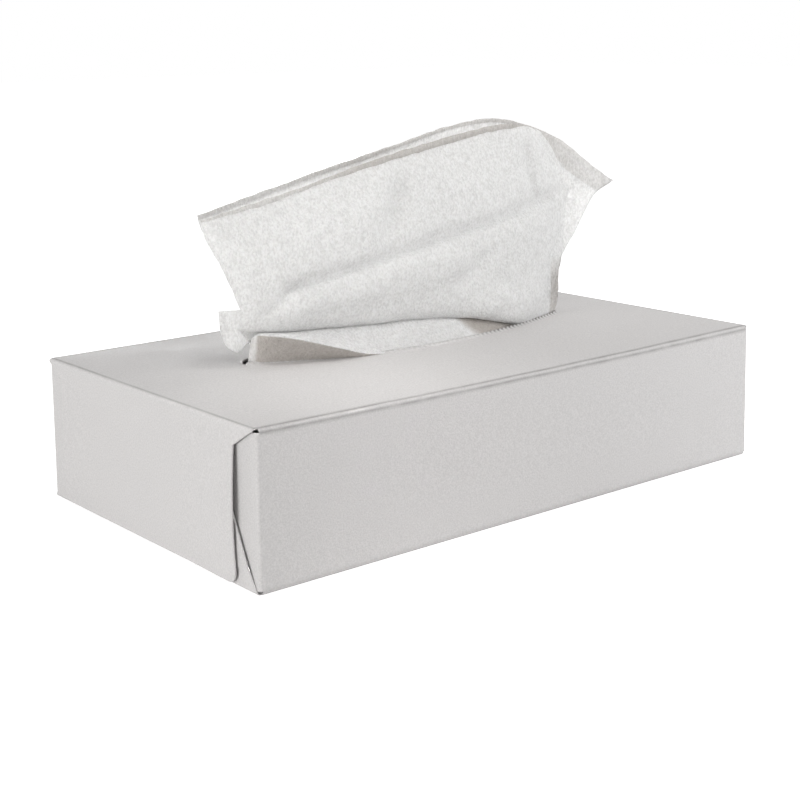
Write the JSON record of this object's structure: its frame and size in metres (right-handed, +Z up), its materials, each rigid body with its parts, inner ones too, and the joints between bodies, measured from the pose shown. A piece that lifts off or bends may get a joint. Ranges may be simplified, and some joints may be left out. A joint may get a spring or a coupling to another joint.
{
  "type": "tissue box",
  "caption": "Flat folding-board box with a lens-shaped slot in its top, holding a stack of interfolded tissues, with the next sheet standing up through the slot.",
  "frame": {"origin": "on the floor under the middle of the carton", "axes": "+Z up, +X along the long side, front long side facing -Y"},
  "size_m": [0.22, 0.127, 0.1271],
  "materials": {
    "board": "matte white board",
    "tissue": "soft matte tissue paper"
  },
  "bodies": {
    "root": {"carton": "board", "tissue_stack": "tissue", "raised_tissue": "tissue"}
  },
  "joints": []
}
